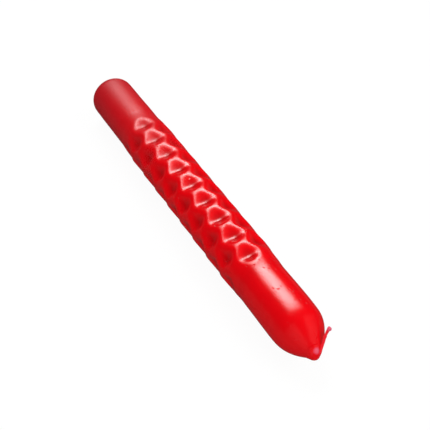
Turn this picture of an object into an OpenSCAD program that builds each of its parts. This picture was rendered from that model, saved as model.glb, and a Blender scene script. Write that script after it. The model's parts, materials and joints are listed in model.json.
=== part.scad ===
// Relief candle lying on its side: a plaited cotton wick in a primed sleeve, an undyed
// wax core, a dyed dip coat with a pressed band of dimples, and a folded wick end.
// The candle's axis is +X, from the foot to the tip, and +Z is up.

/* [Body] */
// Diameter of the smooth wax, which is what a candle holder grips
body_d = 22; // [20:0.5:24]
// From the foot to the shoulder, where the tip begins to narrow
shoulder_x = 184.5; // [176:0.5:192]
// Radius of the rounded edge round the foot
foot_round = 5.5; // [3:0.5:7]
// Thickness of the dyed coat over the core
coat_t = 1.6; // [1.4:0.1:2]

/* [Tip] */
// From the shoulder to the point where the tip's sides would meet
tip_h = 16.5; // [14:0.5:18]
// How full the tip is: 1 is a plain cone, 2 a paraboloid
tip_power = 1.7; // [1.5:0.1:2]
// Height of the drop of wax round the wick's root
nib_h = 3; // [2.8:0.1:3.2]

/* [Relief] */
// Distance along the candle between two dimples of one row
dimple_pitch = 12.5; // [12:0.1:13]
// From the foot to the first dimple of a long row
first_dimple_x = 47.8; // [45:0.1:50]
// Dimples in a long row; the rows between have one fewer
dimples_in_row = 9; // [7:1:9]
// Rows round the candle
dimple_rows = 8; // [8:2:8]
// Turn of the first long row from the top, towards -Y
first_row_turn = 10.5; // [0:0.5:22]
// Height of the relief's ridges over the smooth wax
ridge_h = 0.85; // [0.5:0.05:1]
// Depth of a dimple below the ridges
dimple_depth = 1.7; // [1.3:0.05:1.8]
// Length of one dimple along the candle
dimple_len = 10.6; // [9:0.1:10.8]

/* [Wick] */
// Width of the plait's swing, to one side
plait_swing = 0.3; // [0.3:0.01:0.34]
// Length of one full turn of the plait
plait_pitch = 8; // [7:0.5:12]
// Radius of one strand
strand_r = 0.13; // [0.1:0.01:0.13]
// Wall of the wax that primes the wick inside the candle
primer_t = 0.37; // [0.3:0.01:0.5]
// Wall of the dyed wax on the free end
sleeve_t = 0.15; // [0.12:0.01:0.16]
// Length of the free end, from the fold to the bead
free_len = 8.6; // [6:0.1:10]
// Angle of the fold, from the candle's own direction
fold_deg = 118; // [100:1:118]
// Turn of the fold's plane from the top, towards +Y
fold_turn = 47.5; // [40:0.5:90]
// Radius of the bead at the wick's very end
bead_r = 0.95; // [0.8:0.05:1.2]
// Length of the bead
bead_len = 1.9; // [1.6:0.1:2.4]

/* [Hidden] */
$fn = 96;
body_r = body_d / 2;
core_r = body_r - coat_t;
ridge_r = body_r + ridge_h;
nib_base_x = shoulder_x + tip_h - 3.8;         // the tip is cut flat here, under the nib
fold_x = nib_base_x + nib_h;                   // centre of the knuckle that the free end turns on
relief_start = first_dimple_x - dimple_pitch / 2 - 1.5;
relief_end = first_dimple_x + (dimples_in_row - 0.5) * dimple_pitch + 0.5;
relief_ramp = 2.5;                             // length of the slope at each end of the relief
press_r = (pow(dimple_len / 2, 2) + pow(dimple_depth, 2)) / (2 * dimple_depth);
plait_lift = plait_swing * 2 / 3;              // the plait's swing across its thickness
wick_bore_r = plait_swing + strand_r + 0.06;
primer_r = wick_bore_r + primer_t;
sleeve_r = wick_bore_r + sleeve_t;
knuckle_r = sleeve_r + 0.06;
socket_gap = 0.08;                             // room for the knuckle and sleeve in the nib
socket_r = knuckle_r + socket_gap;
strand_end = fold_x - socket_r - 0.1;          // the long strands stop short of the knuckle
strand_poke = 0.3;                             // the cut cotton stands out of the bead
strand_sides = 6;
rings_per_turn = 12;
tip_steps = 14;
foot_steps = 6;
white = [0.93, 0.90, 0.83];
cream = [0.90, 0.86, 0.74];
cotton = [0.88, 0.84, 0.78];
red = [0.80, 0.02, 0.05];

// Turns a shape that stands on +Z so that it lies along +X, with its -X side up
module lay_down() {
    rotate([0, 90, 0])
        children();
}

// Puts a shape at the knuckle's centre, with its +Z away from the candle in the fold's plane
module at_knuckle() {
    translate([fold_x, 0, 0])
        rotate([-fold_turn, 0, 0])
            children();
}

// Stands a shape's +Z along the folded free end, from the knuckle's centre
module at_fold() {
    at_knuckle()
        rotate([0, 90 - fold_deg, 0])
            children();
}

// Outline of a candle-shaped body of radius r that starts at height z0, cut flat at z1
function foot_arc(r, z0, round_r) =
    [for (i = [0 : foot_steps])
        let (a = 90 * i / foot_steps)
        [r - round_r + round_r * sin(a), z0 + round_r - round_r * cos(a)]];
function tip_r(r, h, z) = r * (1 - pow((z - shoulder_x) / h, tip_power));
function tip_curve(r, h, z1) =
    [for (i = [0 : tip_steps])
        let (z = shoulder_x + (z1 - shoulder_x) * i / tip_steps)
        [tip_r(r, h, z), z]];
function body_outline(r, z0, round_r, h, z1) =
    concat([[0, z0]], foot_arc(r, z0, round_r), tip_curve(r, h, z1), [[0, z1]]);

core_top = nib_base_x - coat_t;
core_tip_h = tip_h - coat_t - 0.4;

module core_shape() {
    rotate_extrude()
        polygon(body_outline(core_r, coat_t, foot_round - coat_t, core_tip_h, core_top));
}

module body_shape() {
    rotate_extrude()
        polygon(body_outline(body_r, 0, foot_round, tip_h, nib_base_x));
}

// The raised band, before the dimples are pressed into it
module relief_band() {
    translate([0, 0, relief_start])
        cylinder(r1 = body_r, r2 = ridge_r, h = relief_ramp);
    translate([0, 0, relief_start + relief_ramp])
        cylinder(r = ridge_r, h = relief_end - relief_start - 2 * relief_ramp);
    translate([0, 0, relief_end - relief_ramp])
        cylinder(r1 = ridge_r, r2 = body_r, h = relief_ramp);
}

// One ball for each dimple, with every other row moved by half a pitch
module dimple_balls() {
    for (row = [0 : dimple_rows - 1])
        let (short = row % 2)
        rotate([0, 0, 180 + first_row_turn + row * 360 / dimple_rows])
            for (i = [0 : dimples_in_row - 1 - short])
                translate([ridge_r - dimple_depth + press_r, 0,
                           first_dimple_x + (i + short / 2) * dimple_pitch])
                    sphere(r = press_r);
}

module wick_hole(r) {
    translate([0, 0, -1])
        cylinder(r = r, h = shoulder_x + tip_h + 2);
}

module dip_coat() {
    color(red)
        lay_down()
            difference() {
                union() {
                    body_shape();
                    relief_band();
                }
                core_shape();
                dimple_balls();
                translate([0, 0, core_top - 1])
                    cylinder(r = primer_r, h = coat_t + 2);
            }
}

module wax_core() {
    color(white)
        lay_down()
            difference() {
                core_shape();
                wick_hole(primer_r);
            }
}

module wick_primer() {
    color(cream)
        lay_down()
            difference() {
                translate([0, 0, coat_t])
                    cylinder(r = primer_r, h = nib_base_x - coat_t);
                wick_hole(wick_bore_r);
            }
}

// The way that the sleeve sweeps from its fold to straight, as a slab in the fold's plane
module swing_slot() {
    reach = 6;
    steps = 12;
    arc = [for (i = [0 : steps])
               let (a = fold_deg * i / steps)
               reach * [cos(a), sin(a)]];
    far_side = socket_r * [-sin(fold_deg), cos(fold_deg)];
    at_knuckle()
        rotate([90, 0, 0])
            translate([0, 0, -socket_r])
                linear_extrude(2 * socket_r)
                    polygon(concat([[0, -socket_r], [reach, -socket_r]], arc,
                                   [arc[steps] + far_side, far_side]));
}

// A barrel of radius r on the hinge's axis
module barrel(r, width) {
    at_knuckle()
        rotate([90, 0, 0])
            translate([0, 0, -width / 2])
                cylinder(r = r, h = width);
}

// The drop of wax round the wick's root, with a round socket and a slot for the free end
module tip_nib() {
    base_r = tip_r(body_r, tip_h, nib_base_x);
    neck_r = tip_r(body_r, tip_h, nib_base_x + nib_h / 2);
    color(red)
        difference() {
            lay_down()
                difference() {
                    translate([0, 0, nib_base_x])
                        rotate_extrude()
                            polygon([[0, 0], [base_r, 0], [neck_r, nib_h / 2],
                                     [neck_r - 0.3, nib_h * 0.75], [socket_r + 0.35, nib_h],
                                     [0, nib_h]]);
                    wick_hole(wick_bore_r);
                }
            barrel(socket_r, 2 * socket_r);
            swing_slot();
        }
}

// Centre of strand k of a flat three-strand plait at height z
function plait_at(k, z) =
    let (t = 360 * z / plait_pitch + 120 * k)
    [plait_swing * sin(t), plait_lift * sin(2 * t), z];

// One strand of the plait between two heights, as a swept polygon
module plait_strand(k, z0, z1) {
    rings = ceil((z1 - z0) / plait_pitch * rings_per_turn);
    points = [for (i = [0 : rings])
                  let (c = plait_at(k, z0 + (z1 - z0) * i / rings))
                  for (s = [0 : strand_sides - 1])
                      let (a = 360 * s / strand_sides)
                      c + strand_r * [cos(a), sin(a), 0]];
    sides = [for (i = [0 : rings - 1], s = [0 : strand_sides - 1])
                 let (n = (s + 1) % strand_sides,
                      low = i * strand_sides, high = low + strand_sides)
                 for (f = [[low + s, high + s, low + n], [low + n, high + s, high + n]])
                     f];
    bottom = [for (s = [0 : strand_sides - 1]) s];
    top = [for (s = [0 : strand_sides - 1]) (rings + 1) * strand_sides - 1 - s];
    polyhedron(points, concat([bottom, top], sides));
}

module wick_strand(k) {
    color(cotton)
        lay_down()
            plait_strand(k, coat_t, strand_end);
}

module free_strand(k) {
    color(cotton)
        at_fold()
            plait_strand(k, 0.3, free_len + bead_len + strand_poke);
}

// The free end's dyed skin, with a round knuckle where the wick folds
module wick_sleeve() {
    color(red)
        difference() {
            union() {
                at_fold()
                    cylinder(r = sleeve_r, h = free_len);
                barrel(knuckle_r, 2 * knuckle_r);
            }
            at_fold()
                cylinder(r = wick_bore_r, h = free_len + 1);
        }
}

module wick_bead() {
    color(red)
        at_fold()
            translate([0, 0, free_len])
                difference() {
                    rotate_extrude()
                        intersection() {
                            translate([0, bead_len / 2])
                                circle(r = bead_r);
                            square([bead_r, bead_len]);
                        }
                    translate([0, 0, -1])
                        cylinder(r = wick_bore_r, h = bead_len + 2);
                }
}

wick_strand(0);  // wick_strand_1
wick_strand(1);  // wick_strand_2
wick_strand(2);  // wick_strand_3
wick_primer();
wax_core();
dip_coat();
tip_nib();
free_strand(0);  // free_strand_1
free_strand(1);  // free_strand_2
free_strand(2);  // free_strand_3
wick_sleeve();
wick_bead();
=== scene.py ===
import json
import math

import bmesh
import bpy
from mathutils import Matrix, Vector


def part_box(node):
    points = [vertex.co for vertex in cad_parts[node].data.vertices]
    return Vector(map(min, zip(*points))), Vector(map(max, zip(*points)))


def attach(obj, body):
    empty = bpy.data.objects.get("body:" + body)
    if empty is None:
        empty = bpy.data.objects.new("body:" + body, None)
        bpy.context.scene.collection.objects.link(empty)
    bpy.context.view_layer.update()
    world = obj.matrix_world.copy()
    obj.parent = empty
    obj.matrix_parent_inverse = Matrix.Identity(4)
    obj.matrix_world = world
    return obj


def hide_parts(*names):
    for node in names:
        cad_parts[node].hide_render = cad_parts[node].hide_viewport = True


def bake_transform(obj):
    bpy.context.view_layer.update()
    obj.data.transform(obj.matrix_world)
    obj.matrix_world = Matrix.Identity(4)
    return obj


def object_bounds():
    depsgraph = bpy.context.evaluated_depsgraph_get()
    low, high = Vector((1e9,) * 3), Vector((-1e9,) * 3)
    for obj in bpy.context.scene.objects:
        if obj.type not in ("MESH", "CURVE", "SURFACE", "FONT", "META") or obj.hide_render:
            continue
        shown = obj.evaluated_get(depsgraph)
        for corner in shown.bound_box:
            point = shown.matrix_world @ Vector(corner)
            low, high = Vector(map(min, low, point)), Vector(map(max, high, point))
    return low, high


bl_info = {
    "name": "Relief Candle",
    "version": (1, 0, 0),
    "blender": (4, 5, 0),
    "location": "View3D > Sidebar > Candle",
    "description": "Dresses the packed relief candle: pressed and dipped wax, nib, waxed wick and stage",
    "category": "Object",
}

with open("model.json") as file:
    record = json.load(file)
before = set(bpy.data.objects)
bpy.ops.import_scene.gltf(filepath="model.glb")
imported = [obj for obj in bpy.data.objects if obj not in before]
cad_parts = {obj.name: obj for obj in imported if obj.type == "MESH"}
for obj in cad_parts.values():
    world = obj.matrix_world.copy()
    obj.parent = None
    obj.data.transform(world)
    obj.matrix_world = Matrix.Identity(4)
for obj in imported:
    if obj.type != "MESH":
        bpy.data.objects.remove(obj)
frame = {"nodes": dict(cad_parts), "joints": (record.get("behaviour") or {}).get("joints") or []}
CAD_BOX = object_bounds()

MM = 0.001
COAT_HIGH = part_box("dip_coat")[1]
CORE_LOW, CORE_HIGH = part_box("wax_core")
PRIMER_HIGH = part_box("wick_primer")[1]
BEND = next(j for j in frame["joints"] if j["name"] == "wick_bend")
ALONG = Vector((1, 0, 0))
FOLD = Vector(BEND["pos_m"])
FOLD_AXIS = Vector(BEND["axis"]).normalized()
FOLD_SIDE = ALONG.cross(FOLD_AXIS)     # the way the wick folds, away from the candle's axis
DROOP = Vector((0, -0.887, -0.461))    # the way the nib hangs
GAP = 0.02 * MM                        # left between a hollow piece and what fills it


# ---------------------------------------------------------------- sizes and colours

class CandleRelief(bpy.types.PropertyGroup):
    smooth_radius: bpy.props.FloatProperty(
        name="Smooth radius", description="Radius of the wax where it is smooth",
        default=11.0 * MM, unit="LENGTH", precision=5)
    first_dimple: bpy.props.FloatProperty(
        name="First dimple", description="From the foot to the first dimple of a long row",
        default=47.3 * MM, unit="LENGTH", precision=5)
    pitch: bpy.props.FloatProperty(
        name="Pitch", description="Between two dimples of one row",
        default=12.65 * MM, unit="LENGTH", precision=5)
    count: bpy.props.IntProperty(
        name="Dimples in a row", description="In a long row; the rows between have one fewer",
        default=9, min=1)
    rows: bpy.props.IntProperty(
        name="Rows", description="Rows of dimples round the candle", default=8, min=4)
    row_turn: bpy.props.FloatProperty(
        name="Row turn", description="Turn of a long row from the top, towards +Y",
        default=math.radians(-11.5), subtype="ANGLE")
    ridge: bpy.props.FloatProperty(
        name="Ridge height", description="Height of the ridges over the smooth wax",
        default=0.85 * MM, unit="LENGTH", precision=5)
    depth: bpy.props.FloatProperty(
        name="Dimple depth", description="Depth of a dimple's middle below the ridges",
        default=2.45 * MM, unit="LENGTH", precision=5)
    wheel: bpy.props.FloatProperty(
        name="Wheel radius", description="From the middle to a corner of the wheel that prints a dimple",
        default=15 * MM, unit="LENGTH", precision=5)
    slope: bpy.props.FloatProperty(
        name="Dimple slope", description="Rise of a dimple's flanks over their run along the candle",
        default=0.47)
    skew: bpy.props.FloatProperty(
        name="Dimple skew", description="How much steeper the flank towards the tip is than the slope",
        default=1.4, min=1)
    shift: bpy.props.FloatProperty(
        name="Dimple shift", description="From a dimple's middle to its deepest line, towards the tip",
        default=1.3 * MM, unit="LENGTH", precision=5)
    edge_round: bpy.props.FloatProperty(
        name="Edge rounding", description="Roundness of the wheel's edge, as a height",
        default=0.25 * MM, unit="LENGTH", precision=5)
    ramp_in: bpy.props.FloatProperty(
        name="Ramp", description="Length over which the ridges rise from the smooth wax",
        default=13 * MM, unit="LENGTH", precision=5)
    overrun: bpy.props.FloatProperty(
        name="Overrun", description="From the last dimple's middle to where the wax is smooth again",
        default=10 * MM, unit="LENGTH", precision=5)
    melt: bpy.props.IntProperty(
        name="Melt", description="How often the pressed wax is smoothed, as the last dip does",
        default=24, min=0)


class CandleTip(bpy.types.PropertyGroup):
    shoulder: bpy.props.FloatProperty(
        name="Shoulder", description="From the foot to where the tip begins to narrow",
        default=184.5 * MM, unit="LENGTH", precision=5)
    height: bpy.props.FloatProperty(
        name="Height", description="From the shoulder to where the tip's sides would meet",
        default=16.5 * MM, unit="LENGTH", precision=5)
    power: bpy.props.FloatProperty(
        name="Fullness", description="1 is a plain cone, 2 a paraboloid", default=1.7)
    soft: bpy.props.FloatProperty(
        name="Soft shoulder", description="Length over which the neck turns into the tip",
        default=4.0 * MM, unit="LENGTH", precision=5)
    foot_round: bpy.props.FloatProperty(
        name="Foot rounding", description="Radius of the foot's edge",
        default=6.0 * MM, unit="LENGTH", precision=5)
    lean: bpy.props.FloatProperty(
        name="Lean", description="How far the tip's end leans to the side that the nib hangs to",
        default=0.8 * MM, unit="LENGTH", precision=5)
    waver: bpy.props.FloatProperty(
        name="Waver", description="Unevenness of the dipped wax",
        default=0.25 * MM, unit="LENGTH", precision=5)
    waver_size: bpy.props.FloatProperty(
        name="Waver size", description="Across one unevenness of the dipped wax",
        default=18 * MM, unit="LENGTH", precision=5)


class CandleWick(bpy.types.PropertyGroup):
    thickness: bpy.props.FloatProperty(
        name="Thickness", description="Across the waxed wick", default=1.2 * MM, unit="LENGTH", precision=5)
    root: bpy.props.FloatProperty(
        name="Root", description="Across the waxed wick where it leaves the nib",
        default=1.6 * MM, unit="LENGTH", precision=5)
    skin: bpy.props.FloatProperty(
        name="Skin", description="Thickness of the wax round the free yarns",
        default=0.12 * MM, unit="LENGTH", precision=5)
    bead: bpy.props.FloatProperty(
        name="Bead", description="Across the bead at the wick's end",
        default=1.8 * MM, unit="LENGTH", precision=5)
    yarn: bpy.props.FloatProperty(
        name="Yarn", description="Across one yarn of the wick", default=0.3 * MM, unit="LENGTH", precision=5)
    plait_turn: bpy.props.FloatProperty(
        name="Plait turn", description="Length of one full turn of the plait",
        default=4 * MM, unit="LENGTH", precision=5)


class CandleColours(bpy.types.PropertyGroup):
    dye: bpy.props.FloatVectorProperty(
        name="Dye", description="Colour of the dyed wax",
        default=(0.80, 0.0005, 0.004), subtype="COLOR", size=3, min=0, max=1)
    gloss: bpy.props.FloatProperty(
        name="Roughness", description="Roughness of the dyed wax", default=0.21, min=0, max=1)
    # painted shade: the dye at the foot, darker where less light falls there, with a faint paler bloom
    foot_shade: bpy.props.FloatVectorProperty(
        name="Haze", description="Colour of the dyed wax at the foot, where it is dull",
        default=(0.46, 0.003, 0.009), subtype="COLOR", size=3, min=0, max=1)
    # also where the painted shade at the foot ends
    foot_shade_end: bpy.props.FloatProperty(
        name="Haze end", description="From the foot to where the wax is fully glossy",
        default=85 * MM, unit="LENGTH", precision=5)
    dullness: bpy.props.FloatProperty(
        name="Dullness", description="Added to the roughness at the foot", default=0.28, min=0, max=1)
    # painted shade: the share of its brightness that the dye keeps in the dimples' hollows
    dimple_shade: bpy.props.FloatProperty(
        name="Pooled dye", description="Brightness of the dye in the dimples, against the rest",
        default=0.62, min=0, max=1)
    # also the colour of the painted glint on the nib, over the wick's root
    skin_and_glint_dye: bpy.props.FloatVectorProperty(
        name="Thin dye", description="Colour of the dyed wax where it is a thin skin over cotton",
        default=(0.78, 0.12, 0.20), subtype="COLOR", size=3, min=0, max=1)


# ---------------------------------------------------------------- shared helpers

def deselect_all():
    """Leaves edit mode, with no object selected"""
    if bpy.context.object and bpy.context.object.mode != "OBJECT":
        bpy.ops.object.mode_set(mode="OBJECT")
    bpy.ops.object.select_all(action="DESELECT")


def make_active(obj):
    """Selects one object alone"""
    deselect_all()
    obj.select_set(True)
    bpy.context.view_layer.objects.active = obj


def open_mesh(obj):
    """Goes into edit mode on obj with nothing selected, and returns its edit mesh"""
    make_active(obj)
    bpy.ops.object.mode_set(mode="EDIT")
    bpy.ops.mesh.select_mode(type="VERT")
    bpy.ops.mesh.select_all(action="DESELECT")
    return bmesh.from_edit_mesh(obj.data)


def pick(obj, test):
    """Selects the vertices whose place passes a test"""
    mesh = bmesh.from_edit_mesh(obj.data)
    found = 0
    for v in mesh.verts:
        v.select = bool(test(v.co))
        found += v.select
    mesh.select_flush_mode()
    bmesh.update_edit_mesh(obj.data)
    if not found:
        raise RuntimeError(f"nothing to select on {obj.name}")


def close_mesh():
    """Back from edit mode, which puts the edits into the mesh"""
    bpy.ops.object.mode_set(mode="OBJECT")


def apply_modifiers(obj):
    """Puts every modifier of an object into its mesh, in their order"""
    make_active(obj)
    for m in list(obj.modifiers):
        bpy.ops.object.modifier_apply(modifier=m.name)


def settle(obj):
    """Puts a piece's place into its mesh, merges its seams, turns its faces outwards and shades it"""
    make_active(obj)
    bpy.ops.object.transform_apply(location=True, rotation=True, scale=True)
    open_mesh(obj)
    bpy.ops.mesh.select_all(action="SELECT")
    bpy.ops.mesh.remove_doubles(threshold=0.001 * MM)
    bpy.ops.mesh.normals_make_consistent(inside=False)
    close_mesh()
    shade(obj)


def shade(obj):
    """Smooth, with the rims of holes and cut ends left sharp"""
    make_active(obj)
    bpy.ops.object.shade_smooth_by_angle(angle=math.radians(50))


def give(obj, material):
    """Dresses a piece in one material"""
    obj.data.materials.clear()
    obj.data.materials.append(material)


# ---------------------------------------------------------------- materials

def new_material(name, color, roughness):
    """A fresh node material with its nodes, its links and its main shader"""
    material = bpy.data.materials.new(name)
    material.use_nodes = True
    nodes, links = material.node_tree.nodes, material.node_tree.links
    shader = nodes["Principled BSDF"]
    shader.inputs["Base Color"].default_value = (*color, 1)
    shader.inputs["Roughness"].default_value = roughness
    return material, nodes, links, shader


def object_place(nodes, links, scale=(1, 1, 1)):
    """The object's own coordinates, stretched by scale"""
    coordinates = nodes.new("ShaderNodeTexCoord")
    mapping = nodes.new("ShaderNodeMapping")
    mapping.inputs["Scale"].default_value = scale
    links.new(coordinates.outputs["Object"], mapping.inputs["Vector"])
    return mapping.outputs["Vector"]


def noise(nodes, links, place, scale, detail=2, roughness=0.5):
    """Cloudy values from 0 to 1, about scale of them to a metre"""
    texture = nodes.new("ShaderNodeTexNoise")
    texture.inputs["Scale"].default_value = scale
    texture.inputs["Detail"].default_value = detail
    texture.inputs["Roughness"].default_value = roughness
    links.new(place, texture.inputs["Vector"])
    return texture.outputs["Fac"]


def spread(nodes, links, value, low, high, to_low, to_high):
    """Takes a value's range from low and high to two new ends, and clamps it there"""
    reach = nodes.new("ShaderNodeMapRange")
    for name, number in (("From Min", low), ("From Max", high), ("To Min", to_low), ("To Max", to_high)):
        reach.inputs[name].default_value = number
    links.new(value, reach.inputs["Value"])
    return reach.outputs["Result"]


def combine(nodes, links, operation, a, b):
    """Adds, multiplies or compares two values, either of which may be a plain number"""
    step = nodes.new("ShaderNodeMath")
    step.operation = operation
    for socket, value in zip(step.inputs, (a, b)):
        if isinstance(value, (int, float)):
            socket.default_value = value
        else:
            links.new(value, socket)
    return step.outputs["Value"]


def blend_colour(nodes, links, factor, a, b):
    """From colour a where the factor is 0 to colour b where it is 1"""
    mix = nodes.new("ShaderNodeMix")
    mix.data_type = "RGBA"
    links.new(factor, mix.inputs["Factor"])
    first, second = mix.inputs[6], mix.inputs[7]        # the two sockets for colours
    for socket, colour in ((first, a), (second, b)):
        if isinstance(colour, bpy.types.NodeSocket):
            links.new(colour, socket)
        else:
            socket.default_value = (*colour, 1)
    return mix.outputs[2]


def bump(nodes, links, height, distance, normal=None):
    """Relief from a height between 0 and 1, on top of another relief if one is given"""
    node = nodes.new("ShaderNodeBump")
    node.inputs["Distance"].default_value = distance
    links.new(height, node.inputs["Height"])
    if normal:
        links.new(normal, node.inputs["Normal"])
    return node.outputs["Normal"]


def shaded(colour, factor):
    """A colour made darker by a factor"""
    return tuple(c * factor for c in colour)


def dimple_shade_mask(nodes, links, place, along):
    """Where shade is painted in the dimples: from 0 on the ridges to 1 in the middle of a dimple, and 0
    outside the relief
    """
    r = bpy.context.scene.candle_relief
    across = nodes.new("ShaderNodeVectorMath")
    across.operation = "MULTIPLY"
    across.inputs[1].default_value = (0, 1, 1)
    links.new(place, across.inputs[0])
    radius = nodes.new("ShaderNodeVectorMath")
    radius.operation = "LENGTH"
    links.new(across.outputs["Vector"], radius.inputs[0])
    top = r.smooth_radius + 0.2 * MM
    bottom = top - 1.5 * MM
    fade = 4 * MM
    low, high = relief_ends(r)
    deep = spread(nodes, links, radius.outputs["Value"], top, bottom, 0, 1)
    entered = spread(nodes, links, along, low, low + fade, 0, 1)
    left = spread(nodes, links, along, high - fade, high, 1, 0)
    inside = combine(nodes, links, "MINIMUM", entered, left)
    return combine(nodes, links, "MULTIPLY", deep, inside)


GLINT_SPOT = (0.1990, -0.0010, 0.0019)  # on the nib over the wick's root, the middle of a painted glint


def painted_glint_at_root(nodes, links, place):
    """From 0 to 0.8 at its middle: a painted glint, a pale spot on the nib over the wick's root"""
    root = nodes.new("ShaderNodeVectorMath")
    root.operation = "DISTANCE"
    root.inputs[1].default_value = GLINT_SPOT
    links.new(place, root.inputs[0])
    return spread(nodes, links, root.outputs["Value"], 0.6 * MM, 1.6 * MM, 0.8, 0)


CLOUDS_PER_METRE = 60                  # of slightly weaker dye
FLECKS_PER_METRE = 1400                # of duller wax
RIPPLES_PER_METRE = 260                # faint waves that make the gloss uneven
PITS_PER_METRE = 560                   # small pits,
PATCHES_PER_METRE = 130                # which lie only in scattered patches


def pitted_height(nodes, links, place):
    """1 on the smooth wax, falling to 0 in the small pits"""
    pits = nodes.new("ShaderNodeTexVoronoi")
    pits.inputs["Scale"].default_value = PITS_PER_METRE
    links.new(place, pits.inputs["Vector"])
    off_pit = spread(nodes, links, pits.outputs["Distance"], 0.05, 0.24, 0, 1)
    patches = noise(nodes, links, place, PATCHES_PER_METRE, 1)
    off_patch = spread(nodes, links, patches, 0.54, 0.60, 1, 0)
    return combine(nodes, links, "MAXIMUM", off_pit, off_patch)


def dyed_wax():
    """Dipped dyed wax: glossy over the relief, with small pits, and duller towards the foot; its colour
    carries painted shade, darker towards the foot and in the dimples, and a painted glint on the nib over
    the wick's root
    """
    if "dipped_dyed_wax" in bpy.data.materials:
        return bpy.data.materials["dipped_dyed_wax"]
    c = bpy.context.scene.candle_colours
    material, nodes, links, shader = new_material("dipped_dyed_wax", c.dye, c.gloss)
    place = object_place(nodes, links)
    split = nodes.new("ShaderNodeSeparateXYZ")
    links.new(place, split.inputs["Vector"])
    along = split.outputs["X"]
    clouds = spread(nodes, links, noise(nodes, links, place, CLOUDS_PER_METRE, 3), 0.3, 0.7, 0, 1)
    # from 1 at the foot to 0: both the painted shade there and the added roughness
    dull_and_shaded = spread(nodes, links, along, c.foot_shade_end, 0, 0, 1)
    dimple_shade = dimple_shade_mask(nodes, links, place, along)
    skin_and_glint = painted_glint_at_root(nodes, links, place)
    colour = blend_colour(nodes, links, clouds, shaded(c.dye, 0.94), c.dye)
    # painted shade towards the foot
    colour = blend_colour(nodes, links, dull_and_shaded, colour, c.foot_shade)
    # painted shade in the dimples' hollows
    colour = blend_colour(nodes, links, dimple_shade, colour, shaded(c.dye, c.dimple_shade))
    # painted glint on the nib over the wick's root
    colour = blend_colour(nodes, links, skin_and_glint, colour, c.skin_and_glint_dye)
    links.new(colour, shader.inputs["Base Color"])
    flecks = noise(nodes, links, place, FLECKS_PER_METRE, 2)
    rough = spread(nodes, links, flecks, 0.3, 0.75, c.gloss - 0.02, c.gloss + 0.04)
    rough = combine(nodes, links, "ADD", rough, spread(nodes, links, dull_and_shaded, 0, 1, 0, c.dullness))
    links.new(rough, shader.inputs["Roughness"])
    normal = bump(nodes, links, pitted_height(nodes, links, place), 0.16 * MM)
    normal = bump(nodes, links, noise(nodes, links, place, RIPPLES_PER_METRE, 2), 0.06 * MM, normal)
    links.new(normal, shader.inputs["Normal"])
    shader.inputs["Specular IOR Level"].default_value = 0.6
    shader.inputs["Subsurface Weight"].default_value = 0.15
    shader.inputs["Subsurface Radius"].default_value = (1.0, 0.12, 0.1)
    shader.inputs["Subsurface Scale"].default_value = 1.5 * MM
    return material


def thin_wax(name, thinnest):
    """The dyed wax where it is a thin skin over cotton, and paler there; thinnest is how pale it gets"""
    if name in bpy.data.materials:
        return bpy.data.materials[name]
    c = bpy.context.scene.candle_colours
    material, nodes, links, shader = new_material(name, c.dye, 0.35)
    place = object_place(nodes, links)
    skin_and_glint = spread(nodes, links, noise(nodes, links, place, 900, 3), 0.35, 0.6, 0.6 * thinnest, thinnest)
    links.new(blend_colour(nodes, links, skin_and_glint, c.dye, c.skin_and_glint_dye), shader.inputs["Base Color"])
    links.new(bump(nodes, links, noise(nodes, links, place, 2500, 3), 0.05 * MM), shader.inputs["Normal"])
    shader.inputs["Specular IOR Level"].default_value = 0.5
    return material


def plain_wax():
    """Undyed wax: clouded, with faint frosting"""
    if "clouded_plain_wax" in bpy.data.materials:
        return bpy.data.materials["clouded_plain_wax"]
    material, nodes, links, shader = new_material("clouded_plain_wax", (0.82, 0.78, 0.68), 0.45)
    place = object_place(nodes, links)
    clouds = spread(nodes, links, noise(nodes, links, place, 90, 4), 0.35, 0.7, 0, 1)
    links.new(blend_colour(nodes, links, clouds, (0.82, 0.77, 0.66), (0.90, 0.87, 0.79)),
              shader.inputs["Base Color"])
    frost = noise(nodes, links, place, 700, 4, 0.6)
    links.new(spread(nodes, links, frost, 0.3, 0.7, 0.38, 0.6), shader.inputs["Roughness"])
    links.new(bump(nodes, links, frost, 0.04 * MM), shader.inputs["Normal"])
    shader.inputs["Subsurface Weight"].default_value = 0.3
    shader.inputs["Subsurface Radius"].default_value = (1.0, 0.8, 0.6)
    shader.inputs["Subsurface Scale"].default_value = 2 * MM
    return material


def primer_wax():
    """The harder cream wax that stiffens the wick, ribbed where the yarns lie under it"""
    if "hard_primer_wax" in bpy.data.materials:
        return bpy.data.materials["hard_primer_wax"]
    material, nodes, links, shader = new_material("hard_primer_wax", (0.80, 0.73, 0.54), 0.5)
    place = object_place(nodes, links, (1, 2.5, 2.5))
    blotches = spread(nodes, links, noise(nodes, links, place, 400, 3), 0.35, 0.7, 0, 1)
    links.new(blend_colour(nodes, links, blotches, (0.76, 0.68, 0.48), (0.86, 0.80, 0.64)),
              shader.inputs["Base Color"])
    links.new(bump(nodes, links, noise(nodes, links, place, 1500, 3), 0.05 * MM), shader.inputs["Normal"])
    return material


def cotton():
    """Bleached cotton yarn: fine fibres along the wick, darker and yellower where the fibres lie low"""
    if "cotton_yarn" in bpy.data.materials:
        return bpy.data.materials["cotton_yarn"]
    material, nodes, links, shader = new_material("cotton_yarn", (0.80, 0.75, 0.66), 0.85)
    place = object_place(nodes, links, (0.25, 1, 1))
    fibres = noise(nodes, links, place, 9000, 4, 0.7)
    depth = spread(nodes, links, fibres, 0.35, 0.65, 0, 1)
    # darker and yellower where the fibres lie low
    links.new(blend_colour(nodes, links, depth, (0.58, 0.52, 0.43), (0.86, 0.82, 0.74)),
              shader.inputs["Base Color"])
    links.new(bump(nodes, links, fibres, 0.03 * MM), shader.inputs["Normal"])
    shader.inputs["Sheen Weight"].default_value = 0.3
    return material


# ---------------------------------------------------------------- the coat

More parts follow.
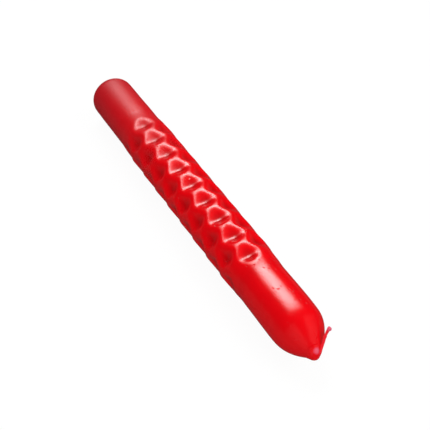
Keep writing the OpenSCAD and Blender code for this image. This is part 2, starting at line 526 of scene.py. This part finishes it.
CELLS_PER_PITCH = 28
CELLS_PER_ROW = 20
WHEEL_SIDES = 12                       # a corner of the wheel presses deepest
WHEEL_RINGS = 24
WHEEL_HALF = 8 * MM                    # half the wheel's thickness
SKIN_GAP = 1.0 * MM                    # the skin starts this far inside the deepest dimple
BARREL_SIDES = 360
BARREL_STEPS = 12                      # in the ridges' rise from the smooth wax
OUTER_SKIN = 9.7 * MM                  # what is further than this from the axis is the coat's outside


def relief_ends(r):
    """Where the relief's skin ends, on the smooth wax at both sides of the dimples"""
    return r.first_dimple - r.pitch, r.first_dimple + r.count * r.pitch


def draw_out(start, rings):
    """Extrudes the selected ring through the given rings in turn"""
    middle, radius = start
    for middle_to, radius_to in rings:
        bpy.ops.mesh.extrude_region_move(TRANSFORM_OT_translate={"value": middle_to - middle})
        k = radius_to / radius
        bpy.ops.transform.resize(value=(1, k, k), center_override=middle_to)
        middle, radius = middle_to, radius_to


def ring_object(name, rings, sides):
    """A surface drawn out through rings that face along the candle"""
    middle, radius = rings[0]
    deselect_all()
    bpy.ops.mesh.primitive_circle_add(
        vertices=sides, radius=radius, location=middle, rotation=(0, math.pi / 2, 0))
    obj = bpy.context.object
    obj.name = name
    bpy.ops.object.transform_apply(location=True, rotation=True, scale=True)
    open_mesh(obj)
    bpy.ops.mesh.select_all(action="SELECT")
    draw_out(rings[0], rings[1:])
    return obj


def pressing_wheel(r):
    """A wheel with corners and a blunt edge, standing over the candle with one corner pressed in"""
    edge = r.smooth_radius + r.ridge - r.depth
    rings = []
    for i in range(WHEEL_RINGS + 1):
        x = WHEEL_HALF * (2 * i / WHEEL_RINGS - 1)
        slope = r.slope * (r.skew if x > 0 else 1 / r.skew)
        back = math.hypot(slope * x, r.edge_round) - r.edge_round
        rings.append((Vector((x + r.shift, 0, edge + r.wheel)), r.wheel - back))
    wheel = ring_object("pressing_wheel", rings, WHEEL_SIDES)
    close_mesh()
    return wheel


def ridged_barrel(r):
    """The surface that the ridges lie on, swelling from the smooth wax between the first and last dimple"""
    low, high = relief_ends(r)
    past = 2 * MM
    first = r.first_dimple - r.overrun
    last = r.first_dimple + (r.count - 1) * r.pitch + r.overrun
    rise = []
    for i in range(BARREL_STEPS + 1):
        share = (1 - math.cos(math.pi * i / BARREL_STEPS)) / 2
        rise.append((r.ramp_in * i / BARREL_STEPS, r.smooth_radius + r.ridge * share))
    rings = [on_axis(low - past, r.smooth_radius)]
    rings += [on_axis(first + x, radius) for x, radius in rise]
    rings += [on_axis(last - x, radius) for x, radius in reversed(rise)]
    rings += [on_axis(high + past, r.smooth_radius)]
    barrel = ring_object("mould", rings, BARREL_SIDES)
    close_mesh()
    return barrel


def mould(r):
    """What the skin of wax is blown against: a wheel at each dimple, and a barrel round them all"""
    barrel = ridged_barrel(r)
    wheel = pressing_wheel(r)
    parts = []
    for row in range(r.rows):
        turn = Matrix.Rotation(-(r.row_turn + row * 2 * math.pi / r.rows), 4, "X")
        short = row % 2
        for i in range(r.count - short):
            part = wheel.copy()
            part.data = wheel.data.copy()
            bpy.context.scene.collection.objects.link(part)
            x = r.first_dimple + (i + short / 2) * r.pitch
            part.data.transform(Matrix.Translation((x, 0, 0)) @ turn)
            parts.append(part)
    make_active(wheel)
    bpy.ops.object.delete()
    make_active(barrel)
    for part in parts:
        part.select_set(True)
    bpy.ops.object.join()
    return barrel


def skin_sheet(r):
    """A sheet of wax wrapped into a tube inside the mould: X along the candle, its seam merged"""
    low, high = relief_ends(r)
    radius = r.smooth_radius + r.ridge - r.depth - SKIN_GAP
    deselect_all()
    bpy.ops.mesh.primitive_grid_add(
        x_subdivisions=CELLS_PER_PITCH * (r.count + 1), y_subdivisions=CELLS_PER_ROW * r.rows,
        size=1, rotation=(math.pi / 2, 0, 0), location=(0, 0, 0))
    sheet = bpy.context.object
    sheet.name = "candle_coat"
    sheet.scale = (high - low, 2 * math.pi * radius, 1)
    bpy.ops.object.transform_apply(location=True, rotation=True, scale=True)
    bend = sheet.modifiers.new("wrap", "SIMPLE_DEFORM")
    bend.deform_method = "BEND"
    bend.deform_axis = "X"
    bend.angle = 2 * math.pi
    apply_modifiers(sheet)
    sheet.location = ((low + high) / 2, -radius, 0)
    settle(sheet)
    return sheet


def blow_against(sheet, shape, r):
    """Blows the skin out against the mould, and lets it melt a little, as the last dip does"""
    blow = sheet.modifiers.new("blow", "SHRINKWRAP")
    blow.target = shape
    blow.wrap_method = "PROJECT"
    blow.use_negative_direction = False
    blow.use_positive_direction = True
    apply_modifiers(sheet)
    make_active(shape)
    bpy.ops.object.delete()
    low, high = relief_ends(r)
    still = 1 * MM
    open_mesh(sheet)
    pick(sheet, lambda p: low + still < p.x < high - still)
    bpy.ops.mesh.vertices_smooth(factor=0.5, repeat=r.melt)
    close_mesh()


def tip_radius(r, t, x):
    """The wax's radius from the neck, over the soft shoulder, to the nib"""
    past = x - t.shoulder
    u = (past + math.hypot(past, t.soft)) / 2 / t.height
    return r.smooth_radius * (1 - u ** t.power)


def on_axis(x, radius):
    """A ring round the candle's axis: its middle and its radius"""
    return Vector((x, 0, 0)), radius


def tip_rings(r, t, start, end):
    """Rings up to the nib, closer together where the tip turns and leaning over towards its end"""
    neck, dome = 24, 34
    crowding = 0.9
    turn = t.shoulder - 4 * MM
    places = [start + (turn - start) * i / neck for i in range(1, neck + 1)]
    places += [turn + (end - turn) * (i / dome) ** crowding for i in range(1, dome + 1)]
    rings = []
    for x in places:
        lean = t.lean * max(0, (x - t.shoulder) / (end - t.shoulder)) ** 2
        rings.append((Vector((x, 0, 0)) + lean * DROOP, tip_radius(r, t, x)))
    return rings


def foot_rings(r, t, start):
    """Rings down the side, round the foot's edge and in to the middle of its flat"""
    side, turn, flat = 30, 14, 5
    places = [(start + (t.foot_round - start) * i / side, r.smooth_radius) for i in range(1, side + 1)]
    for i in range(1, turn + 1):
        a = math.pi / 2 * i / turn
        places.append((t.foot_round * (1 - math.sin(a)),
                       r.smooth_radius - t.foot_round * (1 - math.cos(a))))
    flat_radius = r.smooth_radius - t.foot_round
    places += [(0, flat_radius * (1 - i / (flat + 1))) for i in range(1, flat + 1)]
    return [on_axis(x, radius) for x, radius in places]


def inner_rings(r, t, bore):
    """Rings of the coat's inner wall, from the wick's hole over the core's tip and down to its foot"""
    steps = 12
    core = CORE_HIGH.y + GAP
    top = CORE_HIGH.x + GAP
    turn = CORE_LOW.x + t.foot_round
    rings = [on_axis(top, bore)]
    for i in range(steps + 1):
        x = top + (t.shoulder - top) * i / steps
        narrow = ((x - t.shoulder) / t.height) ** t.power
        rings.append(on_axis(x, core - narrow * r.smooth_radius))
    rings.append(on_axis(turn, core))
    for i in range(1, steps + 1):
        a = math.pi / 2 * i / steps
        rings.append(on_axis(turn - (turn - CORE_LOW.x + GAP) * math.sin(a),
                             core - (t.foot_round - r.smooth_radius + core) * (1 - math.cos(a))))
    return rings


def pick_end(obj, x):
    """Selects the ring of vertices at one place along the candle"""
    pick(obj, lambda p: abs(p.x - x) < 0.01 * MM)


def dip_unevenly(obj, strength, scale, weigh):
    """Wavers a skin of wax as dipping does; weigh(place) says how much, from 0 to 1"""
    group = obj.vertex_groups.new(name="uneven")
    for v in obj.data.vertices:
        group.add([v.index], weigh(v.co), "REPLACE")
    clouds = bpy.data.textures.new(obj.name + "_uneven", "CLOUDS")
    clouds.noise_scale = scale
    clouds.noise_depth = 1
    waver = obj.modifiers.new("uneven", "DISPLACE")
    waver.texture = clouds
    waver.texture_coords = "LOCAL"
    waver.vertex_group = group.name
    waver.strength = strength
    apply_modifiers(obj)
    obj.vertex_groups.clear()


class CANDLE_OT_coat(bpy.types.Operator):
    """Wraps a sheet of wax, blows it against the mould, and draws out the tip, foot and inner wall"""
    bl_idname = "candle.coat"
    bl_label = "Dipped coat"

    def execute(self, context):
        r, t = context.scene.candle_relief, context.scene.candle_tip
        coat = skin_sheet(r)
        blow_against(coat, mould(r), r)
        low, high = relief_ends(r)
        bore = PRIMER_HIGH.y + GAP
        open_mesh(coat)
        pick_end(coat, high)
        outside = tip_rings(r, t, high, COAT_HIGH.x)
        draw_out(on_axis(high, r.smooth_radius), outside)
        draw_out(outside[-1], [on_axis(COAT_HIGH.x, bore)] + inner_rings(r, t, bore))
        bpy.ops.mesh.edge_face_add()
        bpy.ops.mesh.select_all(action="DESELECT")
        pick_end(coat, low)
        draw_out(on_axis(low, r.smooth_radius), foot_rings(r, t, low))
        bpy.ops.mesh.edge_face_add()
        close_mesh()
        settle(coat)
        edge = t.shoulder + 0.6 * t.height
        dip_unevenly(coat, t.waver, t.waver_size,
                     lambda p: min(1, max(0, (edge - p.x) / t.height)) * (p.yz.length > OUTER_SKIN))
        shade(coat)
        give(coat, dyed_wax())
        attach(coat, "candle")
        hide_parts("dip_coat")
        return {"FINISHED"}


# ---------------------------------------------------------------- the nib

NIB_SIDES = 96
SOCKET_DEPTH = 1.8 * MM
NIB_RINGS = (                          # from the coat's end: along, radius and droop, in millimetres
    (0.0, 3.95, 0.80), (0.3, 3.76, 0.84), (0.6, 3.56, 0.90), (0.9, 3.34, 0.98), (1.2, 3.11, 1.08),
    (1.6, 2.80, 1.22), (2.0, 2.46, 1.37), (2.35, 2.10, 1.51), (2.6, 1.76, 1.61), (2.8, 1.38, 1.69),
    (2.94, 0.98, 1.75), (3.02, 0.56, 1.78), (3.05, 0.28, 1.79),
)


class CANDLE_OT_nib(bpy.types.Operator):
    """Draws out the drop of wax round the wick's root, hollow where the wick stands in it"""
    bl_idname = "candle.nib"
    bl_label = "Nib"

    def execute(self, context):
        t = context.scene.candle_tip
        bore = PRIMER_HIGH.y + GAP
        over = t.lean - NIB_RINGS[0][2] * MM
        rings = [(Vector((COAT_HIGH.x + along * MM, 0, 0)) + (droop * MM + over) * DROOP, radius * MM)
                 for along, radius, droop in NIB_RINGS]
        nib = ring_object("candle_nib", rings, NIB_SIDES)
        bpy.ops.mesh.edge_face_add()
        bpy.ops.mesh.select_all(action="DESELECT")
        pick_end(nib, COAT_HIGH.x)
        draw_out(rings[0], [on_axis(COAT_HIGH.x, bore), on_axis(COAT_HIGH.x + SOCKET_DEPTH, bore)])
        bpy.ops.mesh.edge_face_add()
        close_mesh()
        settle(nib)
        dip_unevenly(nib, 0.5 * MM, 2.2 * MM,
                     lambda p: min(1, (p.x - COAT_HIGH.x) / (2 * MM)) * (p.yz.length > 1.2 * bore))
        shade(nib)
        give(nib, dyed_wax())
        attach(nib, "candle")
        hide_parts("tip_nib")
        return {"FINISHED"}


# ---------------------------------------------------------------- the free wick

WICK_HANDLES = (                       # of one curve: along and out from the fold, in millimetres
    (-0.6, -1.9), (-0.5, 1.9), (-4.9, 6.1), (-5.0, 9.2),
)
SKIN_STEPS = 60
YARN_STEPS = 90
FREE_LENGTH = 11 * MM


def wick_point(k):
    """A place on the free wick's middle line, for k from 0 at its root to 1 at its end"""
    weights = ((1 - k) ** 3, 3 * k * (1 - k) ** 2, 3 * k ** 2 * (1 - k), k ** 3)
    along = sum(w * h[0] for w, h in zip(weights, WICK_HANDLES)) * MM
    out = sum(w * h[1] for w, h in zip(weights, WICK_HANDLES)) * MM
    return FOLD + along * ALONG + out * FOLD_SIDE


def wick_direction(k):
    """The way the wick runs at k, towards its bead"""
    step = 0.001
    return (wick_point(k + step) - wick_point(k - step)).normalized()


def tube(name, points, radii, sides, caps):
    """A mesh tube of changing radius along a line of points"""
    deselect_all()
    bpy.ops.curve.primitive_bezier_curve_add(location=(0, 0, 0))
    line = bpy.context.object
    line.name = name
    line.data.splines.clear()
    spline = line.data.splines.new("POLY")
    spline.points.add(len(points) - 1)
    for point, place, radius in zip(spline.points, points, radii):
        point.co = (*place, 1)
        point.radius = radius / MM
    line.data.dimensions = "3D"
    line.data.bevel_depth = MM
    line.data.bevel_resolution = sides // 4
    line.data.use_fill_caps = caps
    make_active(line)
    bpy.ops.object.convert(target="MESH")
    return bpy.context.object


def blend_over_fold(piece):
    """Puts a piece's place into its mesh"""
    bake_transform(piece)


class CANDLE_OT_wick(bpy.types.Operator):
    """Sweeps the waxed skin of the free wick along its curve, and lays three plaited yarns in it"""
    bl_idname = "candle.wick"
    bl_label = "Free wick"

    def execute(self, context):
        w = context.scene.candle_wick
        ks = [i / SKIN_STEPS for i in range(SKIN_STEPS + 1)]
        narrowing = 9
        radii = [(w.thickness + (w.root - w.thickness) * math.exp(-narrowing * k)) / 2 for k in ks]
        sleeve = tube("candle_wick_skin", [wick_point(k) for k in ks], radii, 24, False)
        skin = sleeve.modifiers.new("skin", "SOLIDIFY")
        skin.thickness = w.skin
        skin.offset = -1
        apply_modifiers(sleeve)
        settle(sleeve)
        dip_unevenly(sleeve, 0.22 * MM, 1.1 * MM, lambda p: 1.0)
        shade(sleeve)
        give(sleeve, thin_wax("wick_skin_wax", 0.12))
        blend_over_fold(sleeve)
        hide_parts("wick_sleeve")
        for n in range(3):
            lay_yarn(w, n)
        return {"FINISHED"}


def lay_yarn(w, n):
    """One of three yarns, twisted round the free wick's middle line"""
    swing = 0.75 * w.yarn
    start = 0.04
    places = []
    for i in range(YARN_STEPS + 1):
        k = start + (1 - start) * i / YARN_STEPS
        a = 2 * math.pi * (k * FREE_LENGTH / w.plait_turn + n / 3)
        across = wick_direction(k).cross(FOLD_AXIS)
        places.append(wick_point(k) + swing * (math.cos(a) * across + math.sin(a) * FOLD_AXIS))
    yarn = tube(f"candle_free_yarn_{n + 1}", places, [w.yarn / 2] * len(places), 8, True)
    settle(yarn)
    give(yarn, cotton())
    blend_over_fold(yarn)
    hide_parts(f"free_strand_{n + 1}")


class CANDLE_OT_bead(bpy.types.Operator):
    """Shapes the bead of wax at the wick's end, drawn out towards the wick"""
    bl_idname = "candle.bead"
    bl_label = "Bead"

    def execute(self, context):
        w = context.scene.candle_wick
        heading = wick_direction(1.0)
        radius = w.bead / 2
        middle = wick_point(1.0) + 0.35 * radius * heading
        deselect_all()
        bpy.ops.mesh.primitive_uv_sphere_add(
            segments=40, ring_count=26, radius=radius, location=middle,
            rotation=heading.to_track_quat("Z", "Y").to_euler())
        bead = bpy.context.object
        bead.name = "candle_wick_bead"
        bpy.ops.object.transform_apply(location=True, rotation=True, scale=True)
        pole = 0.99 * radius
        open_mesh(bead)
        pick(bead, lambda p: (p - middle).dot(heading) < -pole)
        bpy.ops.transform.translate(
            value=tuple(-0.9 * radius * heading), use_proportional_edit=True,
            proportional_edit_falloff="SHARP", proportional_size=1.5 * radius)
        pick(bead, lambda p: (p - middle).dot(heading) > pole)
        bpy.ops.transform.translate(
            value=tuple(-0.25 * radius * heading), use_proportional_edit=True,
            proportional_edit_falloff="SMOOTH", proportional_size=0.9 * radius)
        close_mesh()
        settle(bead)
        dip_unevenly(bead, 0.25 * MM, 1.3 * MM, lambda p: 1.0)
        shade(bead)
        give(bead, thin_wax("bead_wax", 1.0))
        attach(bead, "wick_end")
        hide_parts("wick_bead")
        return {"FINISHED"}


# ---------------------------------------------------------------- the inside

class CANDLE_OT_inside(bpy.types.Operator):
    """Gives the core, the primer and the long wick strands their finish"""
    bl_idname = "candle.inside"
    bl_label = "Core and wick"

    def execute(self, context):
        give(frame["nodes"]["wax_core"], plain_wax())
        give(frame["nodes"]["wick_primer"], primer_wax())
        for n in range(3):
            give(frame["nodes"][f"wick_strand_{n + 1}"], cotton())
        return {"FINISHED"}


# ---------------------------------------------------------------- stage

MIDDLE = Vector((0.1, 0, 0))           # of the candle
FLOOR_SIZE = 6.0
FLOOR_COLOUR = (0.35, 0.35, 0.35)      # as the candle sees it
FLOOR_SEEN = 0.95                      # how far the floor glows white to the camera
FLOOR_IN_GLOSS = 0.06                  # how far it glows in the wax's gloss
STUDIO_IN_GLOSS = 0.01
FILL = 0.08                            # even light from all round
CAMERA_TARGET = Vector((0.1110, 0.0029, 0))
CAMERA_AZIMUTH = math.radians(61.5)
CAMERA_ELEVATION = math.radians(42.0)
CAMERA_DISTANCE = 0.4018
CAMERA_LENS = 75.35


class CANDLE_OT_stage(bpy.types.Operator):
    """Sets the floor, the surroundings, the lamps and the camera"""
    bl_idname = "candle.stage"
    bl_label = "Stage"

    def execute(self, context):
        make_floor()
        make_world()
        make_lamps()
        make_camera()
        return {"FINISHED"}


def light_path(nodes, links):
    """Whether a ray shows the surface itself, straight or through glass, and whether gloss mirrors it"""
    path = nodes.new("ShaderNodeLightPath")
    straight, through = path.outputs["Is Camera Ray"], path.outputs["Is Transmission Ray"]
    seen = combine(nodes, links, "MAXIMUM", straight, through)
    return seen, path.outputs["Is Glossy Ray"]


def mix_glow(nodes, links, factor, surface, strength):
    """Mixes a white glow of a given strength over a surface"""
    glow = nodes.new("ShaderNodeEmission")
    glow.inputs["Strength"].default_value = strength
    mix = nodes.new("ShaderNodeMixShader")
    links.new(factor, mix.inputs["Fac"])
    links.new(surface, mix.inputs[1])
    links.new(glow.outputs["Emission"], mix.inputs[2])
    return mix.outputs["Shader"]


def make_floor():
    """A pale floor: white to the camera, with the candle's shadow on it, and dim in the wax's gloss"""
    deselect_all()
    bpy.ops.mesh.primitive_plane_add(size=FLOOR_SIZE, location=(MIDDLE.x, 0, CAD_BOX[0].z))
    floor = bpy.context.object
    floor.name = "floor"
    material, nodes, links, shader = new_material("floor_white", FLOOR_COLOUR, 0.9)
    material.cycles.emission_sampling = "NONE"
    shader.inputs["Specular IOR Level"].default_value = 0.0
    seen, mirrored = light_path(nodes, links)
    links.new(blend_colour(nodes, links, seen, FLOOR_COLOUR, (1.0, 1.0, 1.0)), shader.inputs["Base Color"])
    shown = combine(nodes, links, "MULTIPLY", seen, FLOOR_SEEN)
    white = mix_glow(nodes, links, shown, shader.outputs["BSDF"], 1.0)
    surface = mix_glow(nodes, links, mirrored, white, FLOOR_IN_GLOSS)
    links.new(surface, nodes["Material Output"].inputs["Surface"])
    give(floor, material)


def make_world():
    """White to the camera, an even fill on the candle, and a dark studio in its gloss"""
    world = bpy.data.worlds.new("studio")
    world.cycles.sampling_method = "NONE"
    bpy.context.scene.world = world
    world.use_nodes = True
    nodes, links = world.node_tree.nodes, world.node_tree.links
    background = nodes["Background"]
    background.inputs["Color"].default_value = (1, 1, 1, 1)
    seen, mirrored = light_path(nodes, links)
    level = spread(nodes, links, mirrored, 0, 1, FILL, STUDIO_IN_GLOSS)
    links.new(combine(nodes, links, "MAXIMUM", level, seen), background.inputs["Strength"])


def add_lamp(name, direction, distance, along, across, watts):
    """A rectangular lamp facing the candle's middle, with one side running along the candle"""
    back = Vector(direction).normalized()
    run = (ALONG - ALONG.dot(back) * back).normalized()
    deselect_all()
    bpy.ops.object.light_add(type="AREA", location=MIDDLE + back * distance)
    lamp = bpy.context.object
    lamp.name = name
    lamp.data.shape = "RECTANGLE"
    lamp.data.size, lamp.data.size_y = along, across
    lamp.data.energy = watts
    turn = Matrix((run, back.cross(run), back)).transposed()
    lamp.rotation_mode = "QUATERNION"
    lamp.rotation_quaternion = turn.to_quaternion()
    return lamp


def soften_edges(lamp, fades):
    """Makes a lamp's face fade towards its edges; fades are the shares of its two sides that it takes"""
    lamp.data.use_nodes = True
    nodes, links = lamp.data.node_tree.nodes, lamp.data.node_tree.links
    split = nodes.new("ShaderNodeSeparateXYZ")
    links.new(nodes.new("ShaderNodeNewGeometry").outputs["Parametric"], split.inputs["Vector"])
    level = 1.0
    for axis, fade in zip("XY", fades):
        near = split.outputs[axis]
        far = combine(nodes, links, "SUBTRACT", 1.0, near)
        edge = combine(nodes, links, "MINIMUM", near, far)
        rise = spread(nodes, links, edge, 0, fade, 0, 1)
        rise.node.interpolation_type = "SMOOTHSTEP"
        level = combine(nodes, links, "MULTIPLY", rise, level)
    links.new(level, nodes["Emission"].inputs["Strength"])


def make_lamps():
    """A softbox behind and above, and two wide fills on the camera's side that the gloss doesn't show"""
    softbox = add_lamp("softbox", (-0.58, 0.187, 0.79), distance=1.5, along=0.9, across=1.8, watts=61.0)
    soften_edges(softbox, (0.5, 0.45))
    right = add_lamp("fill_right", (0.6, 0.7, 0.65), distance=2.0, along=2.0, across=2.0, watts=34.0)
    left = add_lamp("fill_left", (0.6, -0.75, 0.45), distance=2.0, along=2.0, across=2.0, watts=30.0)
    right.visible_glossy = False
    left.visible_glossy = False


def make_camera():
    """A long lens looking down on the candle from the side of its tip"""
    level = math.cos(CAMERA_ELEVATION)
    back = Vector((math.sin(CAMERA_AZIMUTH) * level, -math.cos(CAMERA_AZIMUTH) * level,
                   math.sin(CAMERA_ELEVATION)))
    deselect_all()
    bpy.ops.object.camera_add(location=CAMERA_TARGET + back * CAMERA_DISTANCE)
    camera = bpy.context.object
    camera.name = "camera"
    camera.data.sensor_width = 36
    camera.data.lens = CAMERA_LENS
    camera.data.clip_start = 0.01
    camera.rotation_mode = "QUATERNION"
    camera.rotation_quaternion = (-back).to_track_quat("-Z", "Y")
    bpy.context.scene.camera = camera
    bpy.context.scene.view_settings.view_transform = "Standard"


# ---------------------------------------------------------------- add-on

GROUPS = (
    ("candle_relief", CandleRelief), ("candle_tip", CandleTip), ("candle_wick", CandleWick),
    ("candle_colours", CandleColours),
)
OPERATORS = (
    CANDLE_OT_coat, CANDLE_OT_nib, CANDLE_OT_wick, CANDLE_OT_bead, CANDLE_OT_inside, CANDLE_OT_stage,
)


class CANDLE_PT_panel(bpy.types.Panel):
    """Sizes, colours and steps of the candle"""
    bl_idname = "CANDLE_PT_panel"
    bl_label = "Relief candle"
    bl_space_type = "VIEW_3D"
    bl_region_type = "UI"
    bl_category = "Candle"

    def draw(self, context):
        for name, group in GROUPS:
            box = self.layout.box()
            for prop in group.__annotations__:
                box.prop(getattr(context.scene, name), prop)
        for operator in OPERATORS:
            self.layout.operator(operator.bl_idname)


def register():
    for name, group in GROUPS:
        bpy.utils.register_class(group)
        setattr(bpy.types.Scene, name, bpy.props.PointerProperty(type=group))
    for cls in (*OPERATORS, CANDLE_PT_panel):
        bpy.utils.register_class(cls)


def unregister():
    for cls in reversed((*OPERATORS, CANDLE_PT_panel)):
        bpy.utils.unregister_class(cls)
    for name, group in reversed(GROUPS):
        delattr(bpy.types.Scene, name)
        bpy.utils.unregister_class(group)


def main():
    register()
    bpy.ops.candle.coat()
    bpy.ops.candle.nib()
    bpy.ops.candle.wick()
    bpy.ops.candle.bead()
    bpy.ops.candle.inside()
    bpy.ops.candle.stage()


if __name__ == "__main__":
    main()
